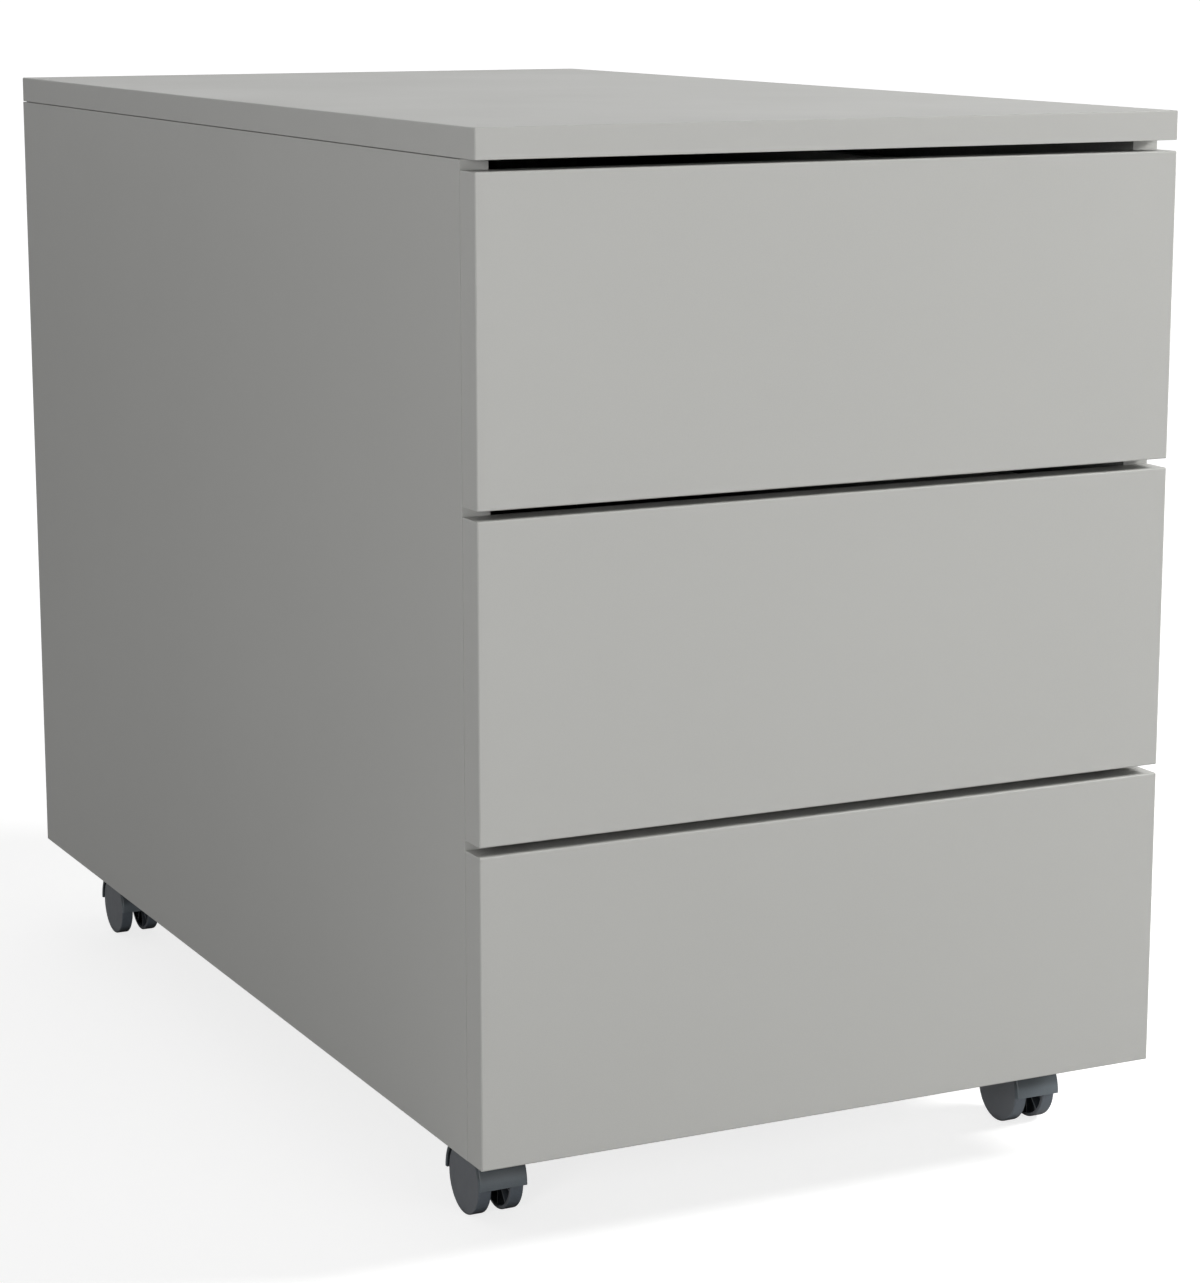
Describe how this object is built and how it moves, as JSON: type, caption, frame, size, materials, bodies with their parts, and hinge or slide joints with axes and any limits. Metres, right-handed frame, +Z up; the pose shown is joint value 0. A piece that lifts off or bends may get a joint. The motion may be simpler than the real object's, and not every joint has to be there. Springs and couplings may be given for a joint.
{
  "type": "rolling pedestal cabinet",
  "caption": "Low rolling pedestal cabinet: board carcass, equal handle-less push-open drawers on telescopic ball runners, hooded twin-wheel swivel castors.",
  "frame": {"origin": "on the floor, at the middle of the footprint", "axes": "+Z up, drawer fronts face -Y, +X to the right of somebody facing the fronts"},
  "size_m": [0.42, 0.76, 0.594],
  "materials": {
    "board_laminate": "satin melamine laminate, light warm grey",
    "drawer_board": "satin melamine laminate, light warm grey",
    "dowel_beech": "raw fluted beech",
    "runner_steel": "zinc-plated sheet",
    "fastener_steel": "zinc-plated",
    "cam_alloy": "die-cast zinc alloy",
    "castor_plastic": "satin moulded polyamide, dark blue-grey",
    "latch_plastic": "moulded acetal, light grey"
  },
  "bodies": {
    "cabinet": {"top_panel": "board_laminate", "bottom_panel": "board_laminate", "left_side_panel": "board_laminate", "right_side_panel": "board_laminate", "back_panel": "board_laminate", "carcass_dowels": "dowel_beech", "cam_lock_housings": "cam_alloy", "cam_lock_bolts": "fastener_steel", "runner_screws": "fastener_steel", "push_latch_housings": "latch_plastic", "push_latch_springs": "fastener_steel", "castor_mounting_plates": "fastener_steel", "castor_kingpins": "fastener_steel", "castor_plate_screws": "fastener_steel", "upper_runner_cabinet_members": "runner_steel", "middle_runner_cabinet_members": "runner_steel", "lower_runner_cabinet_members": "runner_steel"},
    "upper_drawer": {"upper_drawer_front": "board_laminate", "upper_drawer_left_side": "drawer_board", "upper_drawer_right_side": "drawer_board", "upper_drawer_back": "drawer_board", "upper_drawer_bottom": "drawer_board", "upper_drawer_dowels": "dowel_beech", "upper_runner_drawer_members": "runner_steel"},
    "upper_runner_middle": {"upper_runner_middle_members": "runner_steel"},
    "upper_plunger": {"upper_latch_plunger": "latch_plastic"},
    "middle_drawer": {"middle_drawer_front": "board_laminate", "middle_drawer_left_side": "drawer_board", "middle_drawer_right_side": "drawer_board", "middle_drawer_back": "drawer_board", "middle_drawer_bottom": "drawer_board", "middle_drawer_dowels": "dowel_beech", "middle_runner_drawer_members": "runner_steel"},
    "middle_runner_middle": {"middle_runner_middle_members": "runner_steel"},
    "middle_plunger": {"middle_latch_plunger": "latch_plastic"},
    "lower_drawer": {"lower_drawer_front": "board_laminate", "lower_drawer_left_side": "drawer_board", "lower_drawer_right_side": "drawer_board", "lower_drawer_back": "drawer_board", "lower_drawer_bottom": "drawer_board", "lower_drawer_dowels": "dowel_beech", "lower_runner_drawer_members": "runner_steel"},
    "lower_runner_middle": {"lower_runner_middle_members": "runner_steel"},
    "lower_plunger": {"lower_latch_plunger": "latch_plastic"},
    "front_left_castor": {"front_left_castor_hood": "castor_plastic", "front_left_castor_axle": "fastener_steel"},
    "front_left_castor_left_wheel": {"front_left_castor_left_wheel": "castor_plastic"},
    "front_left_castor_right_wheel": {"front_left_castor_right_wheel": "castor_plastic"},
    "front_right_castor": {"front_right_castor_hood": "castor_plastic", "front_right_castor_axle": "fastener_steel"},
    "front_right_castor_left_wheel": {"front_right_castor_left_wheel": "castor_plastic"},
    "front_right_castor_right_wheel": {"front_right_castor_right_wheel": "castor_plastic"},
    "rear_left_castor": {"rear_left_castor_hood": "castor_plastic", "rear_left_castor_axle": "fastener_steel"},
    "rear_left_castor_left_wheel": {"rear_left_castor_left_wheel": "castor_plastic"},
    "rear_left_castor_right_wheel": {"rear_left_castor_right_wheel": "castor_plastic"},
    "rear_right_castor": {"rear_right_castor_hood": "castor_plastic", "rear_right_castor_axle": "fastener_steel"},
    "rear_right_castor_left_wheel": {"rear_right_castor_left_wheel": "castor_plastic"},
    "rear_right_castor_right_wheel": {"rear_right_castor_right_wheel": "castor_plastic"}
  },
  "joints": [
    {"name": "upper_drawer_slide", "type": "slide", "parent": "cabinet", "child": "upper_drawer", "axis": [0, -1, 0], "range_m": [-0.0006, 0.64]},
    {"name": "upper_runner_middle_slide", "type": "slide", "parent": "cabinet", "child": "upper_runner_middle", "axis": [0, -1, 0], "range_m": [-0.0003, 0.32]},
    {"name": "upper_plunger_slide", "type": "slide", "parent": "cabinet", "child": "upper_plunger", "axis": [0, -1, 0], "range_m": [-0.0004, 0.034]},
    {"name": "middle_drawer_slide", "type": "slide", "parent": "cabinet", "child": "middle_drawer", "axis": [0, -1, 0], "range_m": [-0.0006, 0.64]},
    {"name": "middle_runner_middle_slide", "type": "slide", "parent": "cabinet", "child": "middle_runner_middle", "axis": [0, -1, 0], "range_m": [-0.0003, 0.32]},
    {"name": "middle_plunger_slide", "type": "slide", "parent": "cabinet", "child": "middle_plunger", "axis": [0, -1, 0], "range_m": [-0.0004, 0.034]},
    {"name": "lower_drawer_slide", "type": "slide", "parent": "cabinet", "child": "lower_drawer", "axis": [0, -1, 0], "range_m": [-0.0006, 0.64]},
    {"name": "lower_runner_middle_slide", "type": "slide", "parent": "cabinet", "child": "lower_runner_middle", "axis": [0, -1, 0], "range_m": [-0.0003, 0.32]},
    {"name": "lower_plunger_slide", "type": "slide", "parent": "cabinet", "child": "lower_plunger", "axis": [0, -1, 0], "range_m": [-0.0004, 0.034]},
    {"name": "front_left_castor_swivel", "type": "hinge", "parent": "cabinet", "child": "front_left_castor", "pos_m": [-0.1725, -0.295, 0.04], "axis": [0, 0, 1], "continuous": true},
    {"name": "front_left_castor_left_wheel_spin", "type": "hinge", "parent": "front_left_castor", "child": "front_left_castor_left_wheel", "pos_m": [-0.1725, -0.302, 0.02], "axis": [1, 0, 0], "continuous": true},
    {"name": "front_left_castor_right_wheel_spin", "type": "hinge", "parent": "front_left_castor", "child": "front_left_castor_right_wheel", "pos_m": [-0.1725, -0.302, 0.02], "axis": [1, 0, 0], "continuous": true},
    {"name": "front_right_castor_swivel", "type": "hinge", "parent": "cabinet", "child": "front_right_castor", "pos_m": [0.1725, -0.295, 0.04], "axis": [0, 0, 1], "continuous": true},
    {"name": "front_right_castor_left_wheel_spin", "type": "hinge", "parent": "front_right_castor", "child": "front_right_castor_left_wheel", "pos_m": [0.1725, -0.302, 0.02], "axis": [1, 0, 0], "continuous": true},
    {"name": "front_right_castor_right_wheel_spin", "type": "hinge", "parent": "front_right_castor", "child": "front_right_castor_right_wheel", "pos_m": [0.1725, -0.302, 0.02], "axis": [1, 0, 0], "continuous": true},
    {"name": "rear_left_castor_swivel", "type": "hinge", "parent": "cabinet", "child": "rear_left_castor", "pos_m": [-0.1725, 0.313, 0.04], "axis": [0, 0, 1], "continuous": true},
    {"name": "rear_left_castor_left_wheel_spin", "type": "hinge", "parent": "rear_left_castor", "child": "rear_left_castor_left_wheel", "pos_m": [-0.1725, 0.306, 0.02], "axis": [1, 0, 0], "continuous": true},
    {"name": "rear_left_castor_right_wheel_spin", "type": "hinge", "parent": "rear_left_castor", "child": "rear_left_castor_right_wheel", "pos_m": [-0.1725, 0.306, 0.02], "axis": [1, 0, 0], "continuous": true},
    {"name": "rear_right_castor_swivel", "type": "hinge", "parent": "cabinet", "child": "rear_right_castor", "pos_m": [0.1725, 0.313, 0.04], "axis": [0, 0, 1], "continuous": true},
    {"name": "rear_right_castor_left_wheel_spin", "type": "hinge", "parent": "rear_right_castor", "child": "rear_right_castor_left_wheel", "pos_m": [0.1725, 0.306, 0.02], "axis": [1, 0, 0], "continuous": true},
    {"name": "rear_right_castor_right_wheel_spin", "type": "hinge", "parent": "rear_right_castor", "child": "rear_right_castor_right_wheel", "pos_m": [0.1725, 0.306, 0.02], "axis": [1, 0, 0], "continuous": true}
  ],
  "couplings": [
    {"joint": "upper_runner_middle_slide", "follows": "upper_drawer_slide", "ratio": 0.5},
    {"joint": "upper_plunger_slide", "follows": "upper_drawer_slide", "ratio": 0.053125},
    {"joint": "middle_runner_middle_slide", "follows": "middle_drawer_slide", "ratio": 0.5},
    {"joint": "middle_plunger_slide", "follows": "middle_drawer_slide", "ratio": 0.053125},
    {"joint": "lower_runner_middle_slide", "follows": "lower_drawer_slide", "ratio": 0.5},
    {"joint": "lower_plunger_slide", "follows": "lower_drawer_slide", "ratio": 0.053125}
  ]
}
